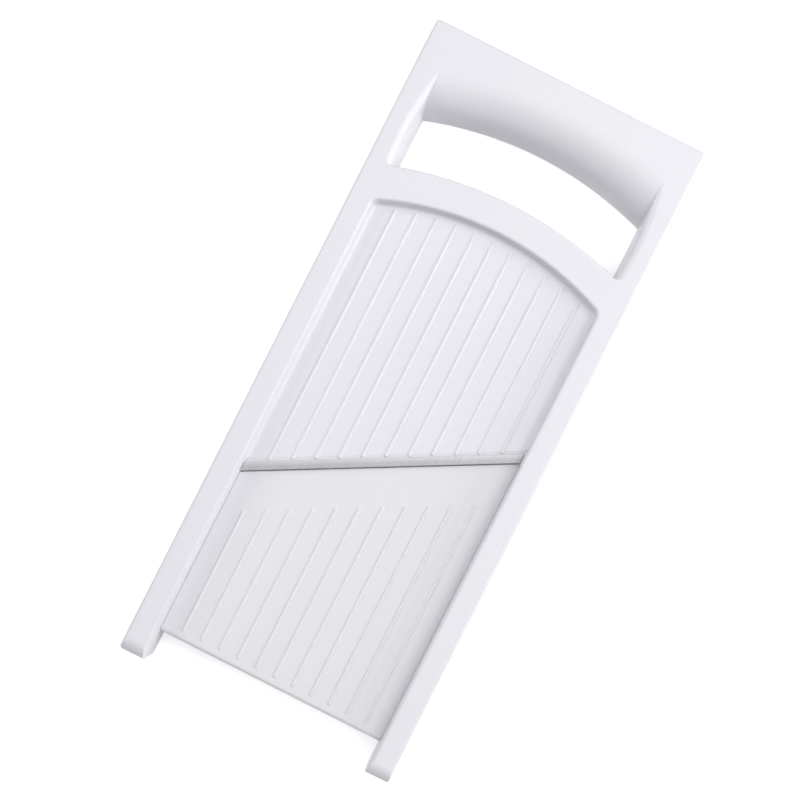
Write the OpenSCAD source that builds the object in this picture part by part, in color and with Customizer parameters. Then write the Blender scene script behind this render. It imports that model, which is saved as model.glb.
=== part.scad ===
// Mandoline slicer: a one-piece white frame with a hand grip, a steel blade set on the diagonal,
// and a hinged feed plate whose height is set by a thumb dial underneath.
// X runs across the slicer, +Y points to the grip, +Z is up. The origin is on the surface that the
// slicer rests on, below the middle of its outline. Sizes are in millimetres.

/* [Overall] */
// Length from the grip end to the feet
overall_l = 343; // [335:1:350]
// Width over the rails
overall_w = 146; // [140:1:152]
// Height from the resting surface to the rail tops
overall_h = 28; // [27.5:0.5:30]

/* [Frame] */
// Width of a rail at its foot
rail_w = 12.5; // [12:0.5:14]
// Wall thickness of the frame moulding
wall = 2.4; // [2:0.1:2.6]
// Rounding of the long outer edges
edge_r = 1.5; // [1:0.1:2]
// Rounding of the rail tops at the feet
toe_r = 8; // [4:0.5:9]
// Radius of the rounded grip bar, from its top to its palm side
grip_r = 21; // [18:0.5:21]
// Height of the landing deck
land_z = 20.5; // [20:0.1:21]

/* [Blade] */
// Angle of the cutting edge across the slicer
blade_angle = 28.4; // [24:0.2:32]
// Angle by which the blade dips behind its edge
blade_tilt = 14; // [13:0.5:15]
// Blade thickness
blade_t = 1.2; // [1:0.1:1.2]
// Blade width from its edge to its back
blade_w = 27; // [26:0.5:28]
// Width of the ground bevel
bevel_w = 3.7; // [3:0.1:4.5]
// Height of the cutting edge
edge_z = 19.7; // [19.4:0.1:19.8]
// Where the cutting edge crosses the middle line
edge_y = -35.4; // [-39.4:0.5:-31.4]

/* [Feed plate] */
// Slice thickness at rest, from the plate up to the cutting edge
slice_t = 2; // [1.6:0.1:2.2]
// Plate thickness
plate_t = 2.4; // [2.2:0.1:2.6]
// Open gap in front of the cutting edge
throat_gap = 0.7; // [0.6:0.1:1.5]
// Free end of the plate
plate_end_y = -156.2; // [-158.2:0.5:-154.2]

/* [Ridges] */
// Number of ridges on each deck
ridge_count = 11; // [7:2:11]
// Distance between ridges
ridge_pitch = 10; // [9:0.1:10]
// Radius of a ridge's round top
ridge_r = 1; // [0.8:0.1:1.2]
// How far a ridge stands out of its deck
ridge_h = 0.6; // [0.4:0.1:0.7]

/* [Adjuster] */
// Radius of the thumb dial
dial_r = 13; // [11:0.5:13]
// Number of finger flutes round the dial
dial_flutes = 24; // [16:2:28]
// Radius of the adjusting screw
screw_r = 3; // [2.8:0.1:3]

/* [Hidden] */
$fn = 64;
EPS = 0.01;

WHITE = [0.93, 0.93, 0.95];
STEEL = [0.72, 0.73, 0.75];
GREY_RUBBER = [0.45, 0.46, 0.48];
BRASS = [0.80, 0.66, 0.38];
NYLON = [0.90, 0.88, 0.80];

// Frame
big = 400;                                // longer than the whole slicer
pad_t = 0.8;                              // tread of the rubber pads under the frame
base_z = pad_t;
half_w = overall_w/2;
top_y = overall_l/2;
toe_y = -overall_l/2;
bay = half_w - rail_w;                    // half the clear width between the rails
inner_wall = 2.4;                         // inner wall of a rail
rail_hollow = rail_w - inner_wall - wall; // open channel under a rail
rail_hollow_l = 241;
side_hollow = [3.2, 85];                  // width and length of the channel beside the hand window
side_hollow_y = 61;
rib_t = 1.8;
rib_x = [-40, -20, 0, 20, 40];            // ribs under the grip and the landing deck
rail_rib_z = 8;
wall_lean = 0.6;                          // how far the trough's walls lean out above the deck
lip_round = 1.4;                          // rounding along their top edge
deck_fillet = 1.5;                        // hollow fillet between the landing deck and its walls
corner_r = 2.5;                           // plan corners of the frame
trough_r = 3.5;                           // plan corners of the trough below the arch

// Hand window and the two arcs of the arch bar, as radius and centre along Y
window_half = 60.4;                       // half its width along the foot of the grip
window_flare = 1.2;                       // how far a scooped wall leans out
window_round = 4;                         // rounding along its top edge
scoop_r = 150;                            // top edge of the scooped wall at each end, seen from above
scoop_x = 65.4;                             // where that edge is farthest out
scoop_y = 113.8;
scoop_foot_r = scoop_r - window_flare - window_round;
window_corner = [61.1, 101.4];            // round corners beside the arch
window_corner_r = 4;
grip_centre_y = -49.7;
grip_arc_r = 188;
grip_foot_z = overall_h - grip_r;         // below this height the grip's palm side is upright
window_arc_r = 200;
window_arc_y = 107 - window_arc_r;
arch_arc_r = 153.525;
arch_arc_y = 90.9 - arch_arc_r;
trough_corner_x = bay - trough_r;
trough_corner_y = arch_arc_y + sqrt(pow(arch_arc_r - trough_r, 2) - pow(trough_corner_x, 2));

// Blade and its seat
lip_n = 4.1;                              // from the cutting edge back to the deck's lip, in plan
lip_slope_n = 1.9;                        // length of the lip's sloping end
seat_back_n = 30;
seat_low_z = 9;
blade_hole_y = 20;
blade_hole_x = [-45, 0, 45];
blade_screw_r = 1.5;
blade_screw_bite = 3.4;
clamp_t = 2.6;
clamp_front = 10;
clamp_rib = [2, 1.8, 1.2];                // place, width and height of the clamp's rib
deck_rib_z = 13;
drive_w = 0.7;                            // cross recess in the screw heads
drive_depth = 0.9;
end_gap = 0.3;                            // the blade's clearance to the rails at each end

// Feed plate and its pivots
plate_z = edge_z - slice_t;
plate_side_gap = 0.1;
plate_half = bay - plate_side_gap;
pivot_y = -147.2;
pivot_z = 12.1;
pivot_r = 2;
pivot_bore_r = pivot_r + 0.05;
knuckle_r = 3.5;
knuckle_w = 5.6;
pin_head_r = 3;
pin_head_t = 1;
roll_r = 2.2;                             // rolled free edge of the plate
plate_hem_z = 9.5;                        // how low the hem below that edge reaches
throat_slope = 1.4;                       // undercut of the plate's edge below the blade
plate_rib_t = 1.6;
plate_rib_h = 2.5;
plate_rib_n = [-42, -9];                  // ribs along the blade, in front of its edge
ridge_end_gap = 5.6;                      // plain strip between the ridges and the plate's free end
plain_n = 20.6;                           // plain strip in front of the cutting edge
land_plain_n = 5.5;                       // plain strip behind it
arch_gap = 3.2;                           // plain strip below the arch
ridge_root = 0.5;                         // how deep a ridge is rooted in its deck

// Adjuster, on the upright axis dial_y
bridge_n = -18;                           // middle of the bridge in front of the cutting edge
bridge_w = 14;
bridge_z = 4.6;
bridge_t = 3;
bridge_boss_r = 9;
dial_y = edge_y + bridge_n/cos(blade_angle);
dial_z = 0.8;
dial_h = 3.4;
washer_t = 0.35;
bush_r = 5;
groove_r = 2.4;
clip_z = bridge_z + bridge_t + 0.1;
clip_t = 0.5;
screw_top_z = 14;
screw_chamfer = 0.8;
clip_gap = 3.2;
washer_r = 7;
cap_r = 6.5;
cap_t = 0.8;
flute_r = 1.3;
flute_out = 0.5;                          // how far the flutes' centres lie outside the dial
nut_z = 10.5;
nut_h = 3.2;
nut_size = [9, 7];
trunnion_r = 1.5;
trunnion_x = 8;
ear_t = 3;
ear_w = 9;
ledge_w = 12;
ledge_top_z = 11.2;
bridge_screw_x = 54;
bridge_screw_r = 1.5;

// Pads
foot_pad_l = 20;
heel_x = 63.5;
heel_y = 158.8;
heel_boss = 16;
heel_r = 5;
heel_pin_r = 2;
heel_pin_l = 4;
foot_pad_tread = 1.4;                     // how far its tread reaches past the rail's hollow

function edge_line_y(x, n) = edge_y + x*tan(blade_angle) + n/cos(blade_angle);
function ridge_x(i) = (i - (ridge_count - 1)/2)*ridge_pitch;
function arch_y(x) = arch_arc_y + sqrt(pow(arch_arc_r, 2) - x*x);

// Places children in plan with x along the cutting edge and y back under the landing deck.
module along_edge() {
    translate([0, edge_y, 0]) rotate([0, 0, blade_angle]) children();
}

// Places children on the blade: z = 0 is its lower face, y = 0 its cutting edge.
module on_blade() {
    translate([0, edge_y, edge_z]) rotate([0, 0, blade_angle]) rotate([-blade_tilt, 0, 0]) children();
}

// Everything between the two planes x = -half and x = half.
module band(half, z0 = -1, z1 = 60) {
    translate([-half, -big/2, z0]) cube([2*half, big, z1 - z0]);
}

module along_y(length) {
    rotate([90, 0, 0]) linear_extrude(length, center = true) children();
}

module along_x(length) {
    rotate([90, 0, 90]) linear_extrude(length, center = true) children();
}

module x_cylinder(r, x0, x1) {
    translate([x0, 0, 0]) rotate([0, 90, 0]) cylinder(r = r, h = x1 - x0);
}

module upright(r, z0, z1) {
    translate([0, 0, z0]) cylinder(r = r, h = z1 - z0);
}

// A rectangle from -a to a (or from x0 to x1) whose two upper corners are round.
module round_top(x0, x1, h, r0, r1) {
    square_from(x0, 0, x1, h - max(r0, r1));
    square_from(x0 + r0, 0, x1 - r1, h);
    square_from(x0, 0, x0 + r0, h - r0);
    square_from(x1 - r1, 0, x1, h - r1);
    translate([x0 + r0, h - r0]) circle(r0);
    translate([x1 - r1, h - r1]) circle(r1);
}

module square_from(x0, y0, x1, y1) {
    translate([x0, y0]) square([x1 - x0, y1 - y0]);
}

module rounded_rect(w, l, r) {
    square([w - 2*r, l], center = true);
    square([w, l - 2*r], center = true);
    for (sx = [-1, 1], sy = [-1, 1]) translate([sx*(w/2 - r), sy*(l/2 - r)]) circle(r);
}

// The frame before anything is cut out of it.
module frame_block() {
    translate([0, 0, base_z]) intersection() {
        along_y(overall_l) round_top(-half_w, half_w, overall_h - base_z, edge_r, edge_r);
        along_x(overall_w) round_top(toe_y, top_y, overall_h - base_z, toe_r, edge_r);
        linear_extrude(overall_h) rounded_rect(overall_w, overall_l, corner_r);
    }
}

// Right half of an opening above z0: its wall leans out from x0 and rounds over at the frame's top.
module flared_section(x0, z0, lean, r) {
    round_z = overall_h - r;
    polygon([[0, z0], [x0, z0], [x0 + lean, round_z], [x0 + lean, overall_h + 1], [0, overall_h + 1]]);
    difference() {
        square_from(x0 + lean - 0.1, round_z, x0 + lean + r, overall_h + 1);
        translate([x0 + lean + r, round_z]) circle(r);
    }
}

// Right half of the trough above the landing deck.
module trough_section(x0) {
    square_from(0, land_z, x0 - deck_fillet, land_z + deck_fillet + 1);
    translate([x0 - deck_fillet, land_z + deck_fillet]) circle(deck_fillet);
    flared_section(x0, land_z + deck_fillet, wall_lean, lip_round);
}

// Trough between the rails: side walls, the arch's wall and the two round corners between them.
module side_walls() {
    for (side = [0, 1]) mirror([side, 0, 0]) translate([0, trough_corner_y, 0])
        rotate([90, 0, 0]) linear_extrude(big) trough_section(bay);
}

module arch_wall() {
    corner = [trough_corner_x, trough_corner_y - arch_arc_y];
    intersection() {
        translate([0, arch_arc_y, 0]) rotate_extrude($fn = 256) trough_section(arch_arc_r);
        translate([0, arch_arc_y, 0]) linear_extrude(60)
            polygon([corner, 2*corner, [-2*corner[0], 2*corner[1]], [-corner[0], corner[1]]]);
    }
}

module trough_corners() {
    corner = 0.2*[trough_corner_x, trough_corner_y - arch_arc_y];
    for (side = [0, 1]) mirror([side, 0, 0]) translate([trough_corner_x, trough_corner_y, 0])
        intersection() {
            rotate_extrude() trough_section(trough_r);
            linear_extrude(60) polygon([[0, 0], [corner[0], 0], corner]);
        }
}

module trough() {
    side_walls();
    arch_wall();
    trough_corners();
}

// The bay in front of the lip, where the feed plate lies.
module plate_bay() {
    intersection() {
        band(bay);
        along_edge() translate([-big/2, -big, -1]) cube([big, big + lip_n, land_z + 2]);
    }
}

module lip_slope() {
    on_section = [[lip_n - 1, land_z + 1], [lip_n - 1, land_z - 0.55], [lip_n, land_z - 0.5],
        [lip_n + lip_slope_n, land_z], [lip_n + lip_slope_n, land_z + 1]];
    intersection() {
        along_edge() rotate([90, 0, 90]) linear_extrude(big, center = true) polygon(on_section);
        band(bay);
    }
}

// Room for the blade and its clamp below the seat.
module blade_pocket() {
    intersection() {
        on_blade() translate([-big/2, -10, -30]) cube([big, 10 + blade_w + end_gap, 30 + blade_t]);
        band(bay);
    }
}

module seat_underside() {
    intersection() {
        along_edge() translate([-big/2, 0, -1]) cube([big, seat_back_n + EPS, 1 + seat_low_z]);
        band(bay);
    }
}

module deck_underside() {
    intersection() {
        along_edge() translate([-big/2, seat_back_n, -1]) cube([big, big, 1 + land_z - wall]);
        translate([0, window_arc_y, -1]) cylinder(r = window_arc_r - wall, h = 60, $fn = 256);
        band(bay);
    }
}

module arch_hollow() {
    intersection() {
        translate([0, window_arc_y, -1])
            cylinder(r = window_arc_r - wall, h = 1 + overall_h - wall, $fn = 256);
        difference() {
            band(bay);
            translate([0, arch_arc_y, -2]) cylinder(r = arch_arc_r + wall, h = 70, $fn = 256);
            translate([-big/2, -big, -2]) cube([big, big, 70]);
        }
    }
}

// The region inside the grip's palm side, as a ring about the grip's own axis.
module palm_ring() {
    centre_r = grip_arc_r + grip_r;
    translate([0, grip_centre_y, 0]) rotate_extrude($fn = 256) difference() {
        square_from(grip_arc_r - 60, -1, centre_r, overall_h + 1);
        square_from(grip_arc_r, -2, centre_r + 1, grip_foot_z);
        translate([centre_r, grip_foot_z]) circle(grip_r, $fn = 128);
    }
}

// The arch bar's side towards the window, with a round top edge.
module window_side_of_arch() {
    translate([0, window_arc_y, 0]) rotate_extrude($fn = 256) {
        square_from(0, -2, window_arc_r, overall_h - lip_round);
        square_from(0, -2, window_arc_r - lip_round, overall_h);
        translate([window_arc_r - lip_round, overall_h - lip_round]) circle(lip_round);
    }
}

// Upright opening below the grip, and a scooped wall that leans out at each end.
module window_ends() {
    band(window_half);
    for (side = [0, 1]) mirror([side, 0, 0]) intersection() {
        translate([scoop_x - scoop_r, scoop_y, 0]) rotate_extrude($fn = 256) {
            square_from(0, -1, scoop_foot_r, base_z);
            flared_section(scoop_foot_r, base_z, window_flare, window_round);
        }
        translate([0, 0, -1]) cube([half_w, big/2, 60]);
    }
}

module window_corners() {
    for (side = [0, 1]) mirror([side, 0, 0]) translate([window_corner[0], window_corner[1], -2])
        difference() {
            translate([-1.2, -2*window_corner_r, 0]) cube([3*window_corner_r, 2*window_corner_r, 70]);
            translate([0, 0, -1]) cylinder(r = window_corner_r, h = 80);
        }
}

module hand_window() {
    difference() {
        intersection() {
            window_ends();
            palm_ring();
            translate([-big/2, 0, -1]) cube([big, big, 60]);
        }
        window_side_of_arch();
        window_corners();
    }
}

module grip_hollow() {
    centre_r = grip_arc_r + grip_r;
    roof_z = overall_h - wall;
    intersection() {
        translate([0, grip_centre_y, 0]) rotate_extrude($fn = 256) {
            square_from(grip_arc_r + wall, -1, big, grip_foot_z);
            square_from(centre_r, -1, big, roof_z);
            translate([centre_r, grip_foot_z]) circle(grip_r - wall, $fn = 128);
        }
        translate([-half_w + wall, 0, -1]) cube([overall_w - 2*wall, top_y - wall, 1 + roof_z]);
    }
}

module grip_ribs() {
    for (x = rib_x) intersection() {
        translate([x - rib_t/2, 120, 6]) cube([rib_t, top_y - 121, overall_h - 8]);
        grip_hollow();
    }
}

// Open channels under the rails, crossed by ribs.
module rail_hollows() {
    height = 1 + overall_h - wall;
    for (s = [-1, 1]) difference() {
        union() {
            translate([s*(bay + inner_wall + rail_hollow/2) - rail_hollow/2, toe_y + 4, -1])
                cube([rail_hollow, rail_hollow_l, height]);
            translate([s*(half_w - wall - side_hollow[0]/2) - side_hollow[0]/2, side_hollow_y, -1])
                cube([side_hollow[0], side_hollow[1], height]);
        }
        for (y = [-130:30:50]) translate([s*(bay + rail_w/2) - rail_w/2, y - rib_t/2, rail_rib_z])
            cube([rail_w, rib_t, 30]);
    }
}

module heel_bosses() {
    for (s = [-1, 1]) translate([s*heel_x - heel_boss/2, heel_y - heel_boss/2, base_z])
        cube([heel_boss, heel_boss, overall_h - base_z - 1]);
}

// A low ridge that runs along Y with round ends, on a surface at height z.
module ridge(x, y0, y1, z) {
    intersection() {
        translate([x, y0, z + ridge_h - ridge_r]) {
            rotate([-90, 0, 0]) cylinder(r = ridge_r, h = y1 - y0, $fn = 32);
            sphere(ridge_r, $fn = 32);
            translate([0, y1 - y0, 0]) sphere(ridge_r, $fn = 32);
        }
        translate([x - ridge_r, y0 - ridge_r, z - ridge_root])
            cube([2*ridge_r, y1 - y0 + 2*ridge_r, ridge_root + ridge_h + 1]);
    }
}

module land_ridges() {
    for (i = [0:ridge_count - 1])
        ridge(ridge_x(i), edge_line_y(ridge_x(i), land_plain_n), arch_y(ridge_x(i)) - arch_gap, land_z);
}

module feed_ridges() {
    for (i = [0:ridge_count - 1])
        ridge(ridge_x(i), plate_end_y + ridge_end_gap, edge_line_y(ridge_x(i), -plain_n), plate_z);
}

// Stiffening ribs under the landing deck, from the blade's seat to the window's wall.
module deck_ribs() {
    for (x = rib_x) {
        front_y = edge_line_y(x, seat_back_n) - 2;
        back_y = window_arc_y + sqrt(pow(window_arc_r - wall, 2) - x*x) + 1;
        translate([x - rib_t/2, front_y, deck_rib_z])
            cube([rib_t, back_y - front_y, land_z - wall + EPS - deck_rib_z]);
    }
}

// Ledges on the inner walls that the bridge is screwed to.
module bridge_ledges() {
    for (s = [-1, 1]) intersection() {
        along_edge() translate([-big/2, bridge_n - bridge_w/2, bridge_z + bridge_t])
            cube([big, bridge_w, ledge_top_z - bridge_z - bridge_t]);
        translate([s*(bay - ledge_w/2 + 0.2) - ledge_w/2 - 0.2, -big/2, 0])
            cube([ledge_w + 0.4, big, 40]);
    }
}

module at_bridge_screws() {
    for (s = [-1, 1]) translate([s*bridge_screw_x, edge_line_y(s*bridge_screw_x, bridge_n), 0]) children();
}

module frame() color(WHITE) difference() {
    union() {
        difference() {
            frame_block();
            trough();
            plate_bay();
            lip_slope();
            blade_pocket();
            seat_underside();
            deck_underside();
            arch_hollow();
            hand_window();
            rail_hollows();
            grip_hollow();
        }
        land_ridges();
        deck_ribs();
        grip_ribs();
        bridge_ledges();
        heel_bosses();
    }
    on_blade() for (x = blade_hole_x) translate([x, blade_hole_y, 0])
        upright(blade_screw_r, 0, blade_t + blade_screw_bite);
    at_bridge_screws() upright(bridge_screw_r, 0, ledge_top_z - 1);
    for (s = [-1, 1]) {
        translate([s*(bay + inner_wall/2), pivot_y, pivot_z]) x_cylinder(pivot_r, -inner_wall, inner_wall);
        translate([s*heel_x, heel_y, 0]) upright(heel_pin_r, 0, base_z + heel_pin_l + 0.5);
    }
}

// Feed plate: slab, rolled free edge, ribs, pivot knuckles and the ears that hold the lift nut.
module plate_slab() {
    intersection() {
        union() {
            along_x(2*plate_half) union() {
                square_from(plate_end_y + roll_r, plate_z - plate_t, 80, plate_z);
                square_from(plate_end_y, plate_hem_z, plate_end_y + roll_r, plate_z - roll_r);
                translate([plate_end_y + roll_r, plate_z - roll_r]) circle(roll_r);
            }
            feed_ridges();
        }
        along_edge() rotate([90, 0, 90]) linear_extrude(big, center = true)
            polygon([[-big, -10], [-throat_gap - throat_slope, -10],
                [-throat_gap - throat_slope, plate_z - plate_t], [-throat_gap, plate_z - 0.8],
                [-throat_gap, 60], [-big, 60]]);
        band(plate_half);
    }
}

module plate_ribs() {
    low_z = plate_z - plate_t - plate_rib_h;
    for (x = rib_x) if (x != 0) translate([x - plate_rib_t/2, plate_end_y + 1, low_z])
        cube([plate_rib_t, edge_line_y(x, -10) - plate_end_y - 1, plate_rib_h + 0.1]);
    intersection() {
        along_edge() for (n = plate_rib_n) translate([-big/2, n - plate_rib_t/2, low_z])
            cube([big, plate_rib_t, plate_rib_h + 0.1]);
        band(plate_half);
        translate([-big/2, plate_end_y + 1, 0]) cube([big, big, 60]);
    }
}

module plate_knuckles() {
    for (s = [-1, 1]) translate([s*(plate_half - knuckle_w/2), pivot_y, 0]) {
        translate([0, 0, pivot_z]) x_cylinder(knuckle_r, -knuckle_w/2, knuckle_w/2);
        translate([-knuckle_w/2, -knuckle_r, pivot_z]) cube([knuckle_w, 2*knuckle_r, plate_z - 1 - pivot_z]);
    }
}

module nut_ears() {
    for (s = [-1, 1]) translate([s*(trunnion_x - ear_t/2) - ear_t/2, dial_y - ear_w/2, nut_z - 0.3])
        cube([ear_t, ear_w, plate_z - 1 - nut_z + 0.3]);
}

module feed_plate() color(WHITE) difference() {
    union() {
        plate_slab();
        plate_ribs();
        plate_knuckles();
        nut_ears();
    }
    translate([0, pivot_y, pivot_z]) x_cylinder(pivot_bore_r, -big/2, big/2);
    translate([0, dial_y, nut_z + nut_h/2]) x_cylinder(trunnion_r + 0.1, -trunnion_x - 2, trunnion_x + 2);
    translate([0, dial_y, 0]) upright(screw_r + 1, 0, plate_z - plate_t + 1);
}

module blade() color(STEEL) intersection() {
    on_blade() difference() {
        rotate([90, 0, 90]) linear_extrude(big, center = true)
            polygon([[0, 0], [bevel_w, blade_t], [blade_w, blade_t], [blade_w, 0]]);
        for (x = blade_hole_x) translate([x, blade_hole_y, 0]) upright(blade_screw_r + 0.2, -1, blade_t + 1);
    }
    band(bay - end_gap);
}

module blade_clamp() color(WHITE) intersection() {
    on_blade() difference() {
        union() {
            translate([-big/2, clamp_front, -clamp_t]) cube([big, blade_w - clamp_front - 1, clamp_t]);
            translate([-big/2, clamp_front + clamp_rib[0], -clamp_t - clamp_rib[2]])
                cube([big, clamp_rib[1], clamp_rib[2] + 0.1]);
        }
        for (x = blade_hole_x) translate([x, blade_hole_y, 0]) upright(blade_screw_r + 0.2, -9, 1);
    }
    band(bay - 1);
}

// Pan-head screw that points along +Z, with the underside of its head at z = 0.
module pan_screw(shank, length, head_r, head_t) {
    difference() {
        union() {
            upright(shank, 0, length);
            upright(head_r, -head_t, 0);
        }
        for (a = [0, 90]) rotate([0, 0, a]) translate([-0.6*head_r, -drive_w/2, -head_t - 1])
            cube([1.2*head_r, drive_w, 1 + drive_depth]);
    }
}

module blade_screws() color(STEEL) on_blade()
    for (x = blade_hole_x) translate([x, blade_hole_y, -clamp_t])
        pan_screw(blade_screw_r, clamp_t + blade_t + blade_screw_bite - 0.2, 2.8, 1.8);

module pivot_pin(s) {
    color(STEEL) translate([0, pivot_y, pivot_z]) mirror([s < 0 ? 1 : 0, 0, 0]) {
        x_cylinder(pivot_r, plate_half - knuckle_w + 0.4, bay + inner_wall);
        x_cylinder(pin_head_r, bay + inner_wall, bay + inner_wall + pin_head_t);
    }
}

module pivot_pin_left() pivot_pin(-1);

module pivot_pin_right() pivot_pin(1);

module adjuster_bridge() color(WHITE) difference() {
    intersection() {
        union() {
            along_edge() translate([-big/2, bridge_n - bridge_w/2, bridge_z]) cube([big, bridge_w, bridge_t]);
            translate([0, dial_y, 0]) rotate([0, 0, blade_angle])
                upright(bridge_boss_r, bridge_z, bridge_z + bridge_t);
        }
        band(bay - 0.3);
    }
    translate([0, dial_y, 0]) upright(bush_r, 0, 20);
    at_bridge_screws() upright(bridge_screw_r + 0.2, 0, 20);
}

module bridge_screws() color(STEEL) at_bridge_screws() translate([0, 0, bridge_z])
    pan_screw(bridge_screw_r, ledge_top_z - 1.2 - bridge_z, 2.8, 1.8);

module adjuster_bush() color(BRASS) translate([0, dial_y, 0]) difference() {
    upright(bush_r, bridge_z, bridge_z + bridge_t);
    upright(screw_r + 0.05, 0, 20);
}

module thrust_washer() color(NYLON) translate([0, dial_y, 0]) difference() {
    upright(washer_r, bridge_z - washer_t, bridge_z);
    upright(screw_r + 0.1, 0, 20);
}

module adjuster_screw() color(STEEL) translate([0, dial_y, 0]) {
    upright(screw_r, dial_z + cap_t, clip_z);
    upright(groove_r, clip_z - EPS, clip_z + clip_t + EPS);
    upright(screw_r, clip_z + clip_t, screw_top_z - screw_chamfer);
    translate([0, 0, screw_top_z - screw_chamfer])
        cylinder(r1 = screw_r, r2 = screw_r - screw_chamfer, h = screw_chamfer);
}

module retaining_clip() color(STEEL) translate([0, dial_y, 0]) difference() {
    upright(bush_r, clip_z, clip_z + clip_t);
    upright(groove_r, 0, 20);
    translate([0, -clip_gap/2, 0]) cube([10, clip_gap, 20]);
}

module adjuster_dial() color(WHITE) translate([0, dial_y, 0]) difference() {
    upright(dial_r, dial_z, dial_z + dial_h);
    upright(screw_r, dial_z + cap_t, 20);
    upright(cap_r, -1, dial_z + cap_t);
    for (i = [0:dial_flutes - 1]) rotate([0, 0, i*360/dial_flutes])
        translate([dial_r + flute_out, 0, 0]) upright(flute_r, -1, 20);
}

module dial_cap() color(GREY_RUBBER) translate([0, dial_y, 0]) upright(cap_r, dial_z, dial_z + cap_t);

module lift_nut() color(BRASS) translate([0, dial_y, 0]) difference() {
    union() {
        translate([-nut_size[0]/2, -nut_size[1]/2, nut_z]) cube([nut_size[0], nut_size[1], nut_h]);
        translate([0, 0, nut_z + nut_h/2]) x_cylinder(trunnion_r, -trunnion_x, trunnion_x);
    }
    upright(screw_r + 0.1, 0, 20);
}

// Rubber pad plugged into the open end of a rail.
module foot_pad(s) {
    y0 = toe_y + 5;
    color(GREY_RUBBER) translate([s*(bay + inner_wall + rail_hollow/2), y0, 0]) {
        translate([-rail_hollow/2, 0, base_z]) cube([rail_hollow, foot_pad_l, 5]);
        translate([-rail_hollow/2 - foot_pad_tread, -1, 0])
            cube([rail_hollow + 2*foot_pad_tread, foot_pad_l + 2, base_z]);
    }
}

module foot_pad_left() foot_pad(-1);

module foot_pad_right() foot_pad(1);

// Round rubber pad pressed into a boss under a corner of the grip.
module heel_pad(s) {
    color(GREY_RUBBER) translate([s*heel_x, heel_y, 0]) {
        upright(heel_r, 0, base_z);
        upright(heel_pin_r, base_z - EPS, base_z + heel_pin_l);
    }
}

module heel_pad_left() heel_pad(-1);

module heel_pad_right() heel_pad(1);

frame();
feed_plate();
blade();
blade_clamp();
blade_screws();
pivot_pin_left();
pivot_pin_right();
adjuster_bridge();
bridge_screws();
adjuster_bush();
thrust_washer();
adjuster_screw();
retaining_clip();
adjuster_dial();
dial_cap();
lift_nut();
foot_pad_left();
foot_pad_right();
heel_pad_left();
heel_pad_right();
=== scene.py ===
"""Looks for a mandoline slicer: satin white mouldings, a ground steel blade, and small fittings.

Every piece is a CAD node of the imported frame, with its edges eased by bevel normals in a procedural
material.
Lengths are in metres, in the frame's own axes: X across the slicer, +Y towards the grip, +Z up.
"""
import math

import bpy
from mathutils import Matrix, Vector


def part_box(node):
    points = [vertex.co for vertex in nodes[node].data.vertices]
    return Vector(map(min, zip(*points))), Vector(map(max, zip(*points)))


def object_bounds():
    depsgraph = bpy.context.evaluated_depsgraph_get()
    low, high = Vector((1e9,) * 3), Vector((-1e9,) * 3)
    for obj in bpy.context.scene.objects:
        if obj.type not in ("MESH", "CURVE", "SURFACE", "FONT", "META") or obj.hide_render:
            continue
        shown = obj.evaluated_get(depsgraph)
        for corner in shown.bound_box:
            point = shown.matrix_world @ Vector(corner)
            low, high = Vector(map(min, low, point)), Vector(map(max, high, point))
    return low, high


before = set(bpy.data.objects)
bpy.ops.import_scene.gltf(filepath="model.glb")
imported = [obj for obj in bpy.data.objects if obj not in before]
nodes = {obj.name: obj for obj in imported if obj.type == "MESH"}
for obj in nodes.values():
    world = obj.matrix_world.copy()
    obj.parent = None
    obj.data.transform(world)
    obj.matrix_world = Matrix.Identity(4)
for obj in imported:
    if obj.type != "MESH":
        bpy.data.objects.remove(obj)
cad_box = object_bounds()

MM = 0.001
LOW, HIGH = (Vector(corner) for corner in cad_box)
SIZE = HIGH - LOW
RAIL_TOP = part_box("frame")[1].z

BLADE_TURN = math.radians(28.4)  # the cutting edge's direction in plan
BLADE_LOW, BLADE_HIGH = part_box("blade")
EDGE_Y = BLADE_LOW.y + BLADE_HIGH.x * math.tan(BLADE_TURN)  # where the edge crosses the middle line
PLATE_LOW, PLATE_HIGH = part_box("feed_plate")
ARCH_Y = 0.092                   # the window's side of the arch bar lies behind this line

BEVEL_SHADE_FADE_START = 1.6 * MM             # painted shade on the ground bevel, darkest at the cutting edge, starts to lighten here behind it
BEVEL_SHADE_FADE_END = 4.6 * MM          # and the painted shade is gone from here on

FLOOR_GLOW = 0.45                # emission of the floor beside the decks
FLOOR_REACH = 12                 # half the floor's side, in lengths of the slicer
PLATE_END_MARGIN = 3 * MM        # the floor's dark region starts this far inside the plate's free end


# --- node helpers -------------------------------------------------------------------------------

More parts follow.
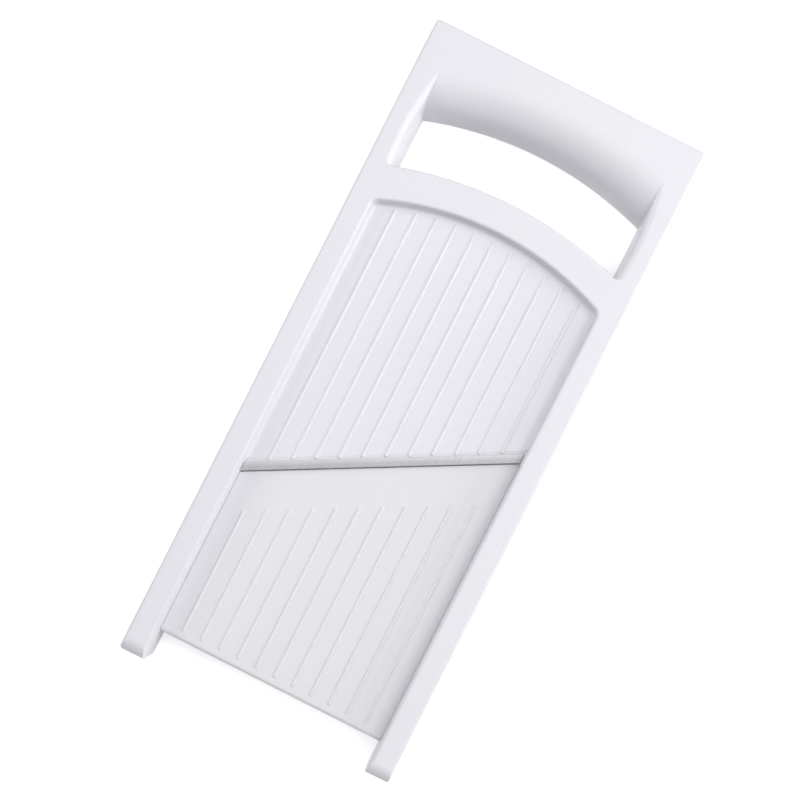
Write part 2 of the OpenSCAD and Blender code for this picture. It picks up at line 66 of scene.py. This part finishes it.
class Shader:
    """A material's node tree, with short calls that add a node and link its sockets."""

    def __init__(self, name):
        self.material = bpy.data.materials.new(name)
        self.material.use_nodes = True
        self.tree = self.material.node_tree
        self.tree.nodes.clear()
        self.output = self.tree.nodes.new("ShaderNodeOutputMaterial")
        self.bsdf = self.tree.nodes.new("ShaderNodeBsdfPrincipled")
        self.tree.links.new(self.bsdf.outputs[0], self.output.inputs["Surface"])
        coords = self.tree.nodes.new("ShaderNodeTexCoord")
        self.position = coords.outputs["Object"]

    def node(self, kind, **values):
        made = self.tree.nodes.new(kind)
        for key, value in values.items():
            setattr(made, key, value)
        return made

    def link(self, source, target):
        self.tree.links.new(source, target)

    def set(self, **values):
        """Sets constants on the Principled shader's own sockets; underscores stand for spaces."""
        for key, value in values.items():
            self.bsdf.inputs[key.replace("_", " ")].default_value = value

    def mapping(self, scale=(1, 1, 1), turn=0.0):
        made = self.node("ShaderNodeMapping")
        made.inputs["Rotation"].default_value = (0, 0, turn)
        made.inputs["Scale"].default_value = scale
        self.link(self.position, made.inputs["Vector"])
        return made.outputs["Vector"]

    def noise(self, scale, detail=2.0, roughness=0.5, vector=None):
        made = self.node("ShaderNodeTexNoise")
        made.inputs["Scale"].default_value = scale
        made.inputs["Detail"].default_value = detail
        made.inputs["Roughness"].default_value = roughness
        self.link(vector or self.position, made.inputs["Vector"])
        return made.outputs["Fac"]

    def remap(self, value, low, high, from_low=0.0, from_high=1.0):
        made = self.node("ShaderNodeMapRange")
        made.inputs["From Min"].default_value = from_low
        made.inputs["From Max"].default_value = from_high
        made.inputs["To Min"].default_value = low
        made.inputs["To Max"].default_value = high
        self.link(value, made.inputs["Value"])
        return made.outputs["Result"]

    def math(self, operation, a, b):
        made = self.node("ShaderNodeMath", operation=operation)
        for socket, value in zip(made.inputs, (a, b)):
            if isinstance(value, (int, float)):
                socket.default_value = value
            else:
                self.link(value, socket)
        return made.outputs["Value"]

    def mix(self, factor, color_a, color_b):
        made = self.node("ShaderNodeMix", data_type="RGBA")
        self.link(factor, made.inputs["Factor"])
        for socket, value in ((made.inputs["A"], color_a), (made.inputs["B"], color_b)):
            if isinstance(value, tuple):
                socket.default_value = (*value, 1.0)
            else:
                self.link(value, socket)
        return made.outputs["Result"]

    def bump(self, height, distance, strength=1.0, normal=None):
        made = self.node("ShaderNodeBump")
        made.inputs["Strength"].default_value = strength
        made.inputs["Distance"].default_value = distance
        self.link(height, made.inputs["Height"])
        if normal is not None:
            self.link(normal, made.inputs["Normal"])
        return made.outputs["Normal"]

    def rounded(self, radius):
        """A normal that rounds the edges off over this radius."""
        made = self.node("ShaderNodeBevel", samples=6)
        made.inputs["Radius"].default_value = radius
        return made.outputs["Normal"]

    def edge_mask(self, radius):
        """1 along sharp edges and 0 on open faces."""
        rounded = self.rounded(radius)
        geometry = self.node("ShaderNodeNewGeometry")
        dot = self.node("ShaderNodeVectorMath", operation="DOT_PRODUCT")
        self.link(rounded, dot.inputs[0])
        self.link(geometry.outputs["Normal"], dot.inputs[1])
        return self.remap(dot.outputs["Value"], 1.0, 0.0, 0.80, 0.995)


# --- materials ----------------------------------------------------------------------------------

def moulded_plastic(name, color, shade, roughness=0.36, grain=0.25 * MM, painted_edge_highlight=0.06):
    """Injection-moulded white plastic: fine spark-eroded grain, faint flow marks and a painted highlight on
    sharp edges.
    """
    s = Shader(name)
    flow = s.noise(14, detail=3, vector=s.mapping(scale=(1.0, 0.35, 1.0)))
    cloudy = s.mix(s.remap(flow, 0.0, 1.0, 0.35, 0.65), shade, color)
    # painted highlight: the base colour is lightened along sharp edges, so ridges and rims look bright
    painted_highlight_color = tuple(min(1.0, channel + painted_edge_highlight) for channel in color)
    s.link(s.mix(s.edge_mask(0.5 * MM), cloudy, painted_highlight_color), s.bsdf.inputs["Base Color"])
    smudge = s.noise(45, detail=4, roughness=0.6)
    s.link(s.remap(smudge, roughness - 0.05, roughness + 0.06, 0.3, 0.7), s.bsdf.inputs["Roughness"])
    fine = s.noise(1.0 / grain, detail=2, roughness=0.6)
    sink = s.noise(60, detail=1)
    soft = s.bump(sink, 0.05 * MM, strength=0.25, normal=s.rounded(0.35 * MM))
    s.link(s.bump(fine, 0.012 * MM, strength=0.5, normal=soft), s.bsdf.inputs["Normal"])
    s.set(IOR=1.52, Subsurface_Weight=0.06, Subsurface_Scale=1.0)
    s.set(Subsurface_Radius=(1.2 * MM, 1.1 * MM, 1.0 * MM))
    return s.material


def ground_steel(name):
    """Blade steel with fine grinding lines across the strip, at right angles to the cutting edge, and painted
    shade on the bevel.
    """
    s = Shader(name)
    across = s.mapping(scale=(5200, 90, 90), turn=-BLADE_TURN)
    coarse_across = s.mapping(scale=(900, 30, 30), turn=-BLADE_TURN)
    lines = s.noise(1.0, detail=3, roughness=0.7, vector=across)
    bands = s.noise(1.0, detail=2, roughness=0.6, vector=coarse_across)
    both = s.math("ADD", s.math("MULTIPLY", lines, 0.55), s.math("MULTIPLY", bands, 0.45))
    split = s.node("ShaderNodeSeparateXYZ")
    s.link(s.position, split.inputs[0])
    along = s.math("MULTIPLY", split.outputs["X"], math.sin(BLADE_TURN))
    back = s.math("MULTIPLY", s.math("SUBTRACT", split.outputs["Y"], EDGE_Y), math.cos(BLADE_TURN))
    behind_edge = s.math("SUBTRACT", back, along)
    # painted shade: the bevel's colour is darker near the cutting edge and lightens further back
    painted_shade_steel = s.mix(s.remap(both, 0.0, 1.0, 0.3, 0.7), (0.44, 0.438, 0.46), (0.61, 0.607, 0.635))
    painted_light_steel = s.mix(s.remap(both, 0.0, 1.0, 0.3, 0.7), (0.68, 0.675, 0.70), (0.80, 0.795, 0.82))
    fade = s.remap(behind_edge, 0.0, 1.0, BEVEL_SHADE_FADE_START, BEVEL_SHADE_FADE_END)
    s.link(s.mix(fade, painted_shade_steel, painted_light_steel), s.bsdf.inputs["Base Color"])
    s.link(s.remap(both, 0.45, 0.62, 0.3, 0.7), s.bsdf.inputs["Roughness"])
    s.link(s.bump(both, 0.01 * MM, strength=0.6), s.bsdf.inputs["Normal"])
    s.set(Metallic=1.0)
    return s.material


def turned_metal(name, dark, light, roughness):
    """Turned or drawn metal: fine scratches, small stains and polished edges."""
    s = Shader(name)
    stain = s.noise(700, detail=4, roughness=0.6)
    scratch = s.noise(1.0, detail=2, vector=s.mapping(scale=(900, 900, 12000)))
    worn = s.mix(s.remap(stain, 0.0, 1.0, 0.3, 0.7), dark, light)
    bright = tuple(min(1.0, channel * 1.12) for channel in light)
    s.link(s.mix(s.edge_mask(0.2 * MM), worn, bright), s.bsdf.inputs["Base Color"])
    s.link(s.remap(scratch, roughness - 0.06, roughness + 0.10, 0.3, 0.7), s.bsdf.inputs["Roughness"])
    s.link(s.bump(scratch, 0.006 * MM, strength=0.5, normal=s.rounded(0.12 * MM)), s.bsdf.inputs["Normal"])
    s.set(Metallic=1.0)
    return s.material


def soft_rubber(name, color, dusty):
    """Matt rubber with a moulded grain and pale dust on it."""
    s = Shader(name)
    dust = s.noise(160, detail=5, roughness=0.65)
    s.link(s.mix(s.remap(dust, 0.0, 0.6, 0.45, 0.8), color, dusty), s.bsdf.inputs["Base Color"])
    s.link(s.remap(dust, 0.62, 0.85, 0.3, 0.7), s.bsdf.inputs["Roughness"])
    grain = s.noise(2600, detail=2)
    s.link(s.bump(grain, 0.03 * MM, strength=0.5, normal=s.rounded(0.3 * MM)), s.bsdf.inputs["Normal"])
    return s.material


def studio_floor(name, color):
    """White studio floor that glows like a light table, except in the region under the decks.

    The glow is left out there so that the narrow gap in front of the blade looks dark from above.
    """
    s = Shader(name)
    paper = s.noise(9, detail=2)
    s.link(s.mix(s.remap(paper, 0.0, 1.0, 0.3, 0.7), tuple(c * 0.99 for c in color), color),
           s.bsdf.inputs["Base Color"])
    s.set(Roughness=0.9, Emission_Color=(*color, 1.0))
    split = s.node("ShaderNodeSeparateXYZ")
    s.link(s.position, split.inputs[0])
    beside = s.math("GREATER_THAN", s.math("ABSOLUTE", split.outputs["X"], 0.0), PLATE_HIGH.x)
    behind = s.math("GREATER_THAN", split.outputs["Y"], ARCH_Y)
    before = s.math("LESS_THAN", split.outputs["Y"], PLATE_LOW.y + PLATE_END_MARGIN)
    outside = s.math("MAXIMUM", s.math("MAXIMUM", behind, before), beside)
    s.link(s.math("MULTIPLY", outside, FLOOR_GLOW), s.bsdf.inputs["Emission Strength"])
    return s.material


WHITE = (0.740, 0.735, 0.775)
WHITE_SHADE = (0.725, 0.720, 0.765)
frame_white = moulded_plastic("frame_white", WHITE, WHITE_SHADE)
plate_white = moulded_plastic("plate_white", (0.735, 0.730, 0.762), (0.720, 0.716, 0.752))
clamp_white = moulded_plastic("clamp_white", (0.710, 0.707, 0.730), (0.690, 0.688, 0.712), roughness=0.5)
dial_white = moulded_plastic("dial_white", (0.730, 0.727, 0.760), (0.712, 0.709, 0.745), roughness=0.33)
cap_grey = moulded_plastic("cap_grey", (0.26, 0.27, 0.29), (0.23, 0.24, 0.26),
                           roughness=0.45, painted_edge_highlight=0.05)
nylon = moulded_plastic("washer_nylon", (0.72, 0.69, 0.60), (0.68, 0.65, 0.56), roughness=0.42)
blade_steel = ground_steel("blade_steel")
fastener_steel = turned_metal("fastener_steel", (0.50, 0.50, 0.51), (0.66, 0.66, 0.67), 0.26)
spring_steel = turned_metal("spring_steel", (0.20, 0.20, 0.22), (0.32, 0.32, 0.34), 0.34)
brass = turned_metal("brass", (0.62, 0.45, 0.20), (0.80, 0.62, 0.32), 0.28)
pad_rubber = soft_rubber("pad_rubber", (0.10, 0.10, 0.11), (0.19, 0.19, 0.20))

MATERIALS = {
    "frame": frame_white,
    "feed_plate": plate_white,
    "blade": blade_steel,
    "blade_clamp": clamp_white,
    "blade_screws": fastener_steel,
    "pivot_pin_left": fastener_steel,
    "pivot_pin_right": fastener_steel,
    "adjuster_bridge": clamp_white,
    "bridge_screws": fastener_steel,
    "adjuster_bush": brass,
    "thrust_washer": nylon,
    "adjuster_screw": fastener_steel,
    "retaining_clip": spring_steel,
    "adjuster_dial": dial_white,
    "dial_cap": cap_grey,
    "lift_nut": brass,
    "foot_pad_left": pad_rubber,
    "foot_pad_right": pad_rubber,
    "heel_pad_left": pad_rubber,
    "heel_pad_right": pad_rubber,
}

for name, material in MATERIALS.items():
    for slot in nodes[name].material_slots:
        slot.material = material


# --- floor, light and camera --------------------------------------------------------------------

def make_floor():
    """The floor at the slicer's feet; it isn't seen by diffuse rays, so its glow doesn't light the slicer."""
    half = FLOOR_REACH * SIZE.y
    mesh = bpy.data.meshes.new("floor")
    corners = [(-half, -half), (half, -half), (half, half), (-half, half)]
    mesh.from_pydata([(x, y, LOW.z) for x, y in corners], [], [(0, 1, 2, 3)])
    floor = bpy.data.objects.new("floor", mesh)
    bpy.context.scene.collection.objects.link(floor)
    floor.data.materials.append(studio_floor("floor_white", (0.95, 0.95, 0.955)))
    floor.visible_diffuse = False


def make_area_light(name, place, size, power):
    """A white rectangular lamp that faces the slicer."""
    light = bpy.data.lights.new(name, "AREA")
    light.shape = "RECTANGLE"
    light.size, light.size_y = size
    light.energy = power
    lamp = bpy.data.objects.new(name, light)
    bpy.context.scene.collection.objects.link(lamp)
    lamp.location = place
    lamp.rotation_euler = (-Vector(place)).to_track_quat("-Z", "Y").to_euler()


def make_world(strength):
    world = bpy.data.worlds.new("studio")
    bpy.context.scene.world = world
    world.use_nodes = True
    background = world.node_tree.nodes["Background"]
    background.inputs["Color"].default_value = (0.985, 0.985, 1.0, 1.0)
    background.inputs["Strength"].default_value = strength


VIEW_DISTANCE = 0.700            # from the rail tops to the lens
VIEW_TURN = math.radians(26.87)  # the slicer's turn in the picture
VIEW_FOOT = (0.0400, 0.0009)     # the point that the lens is straight above
VIEW_LENS = 65.16
VIEW_SHIFT = (-0.1085, 0.0468)


def make_camera():
    camera = bpy.data.cameras.new("camera")
    camera.lens = VIEW_LENS
    camera.sensor_width = 36
    camera.shift_x, camera.shift_y = VIEW_SHIFT
    holder = bpy.data.objects.new("camera", camera)
    bpy.context.scene.collection.objects.link(holder)
    holder.location = (*VIEW_FOOT, RAIL_TOP + VIEW_DISTANCE)
    holder.rotation_euler = (0, 0, VIEW_TURN)
    bpy.context.scene.camera = holder


LIGHTS = (
    ("overhead", (0.10, 0.15, 1.60), (1.6, 1.6), 7.4),
    ("left", (-1.30, 0.10, 0.90), (0.9, 0.9), 8.3),
    ("right_low", (1.40, 0.50, 0.45), (0.8, 0.8), 12.0),
    ("right_high", (0.80, 0.50, 1.30), (0.9, 0.9), 9.3),
)
WORLD_LIGHT = 0.32

make_floor()
make_world(WORLD_LIGHT)
for light in LIGHTS:
    make_area_light(*light)
make_camera()
bpy.context.scene.view_settings.view_transform = "Standard"
bpy.context.scene.view_settings.look = "None"
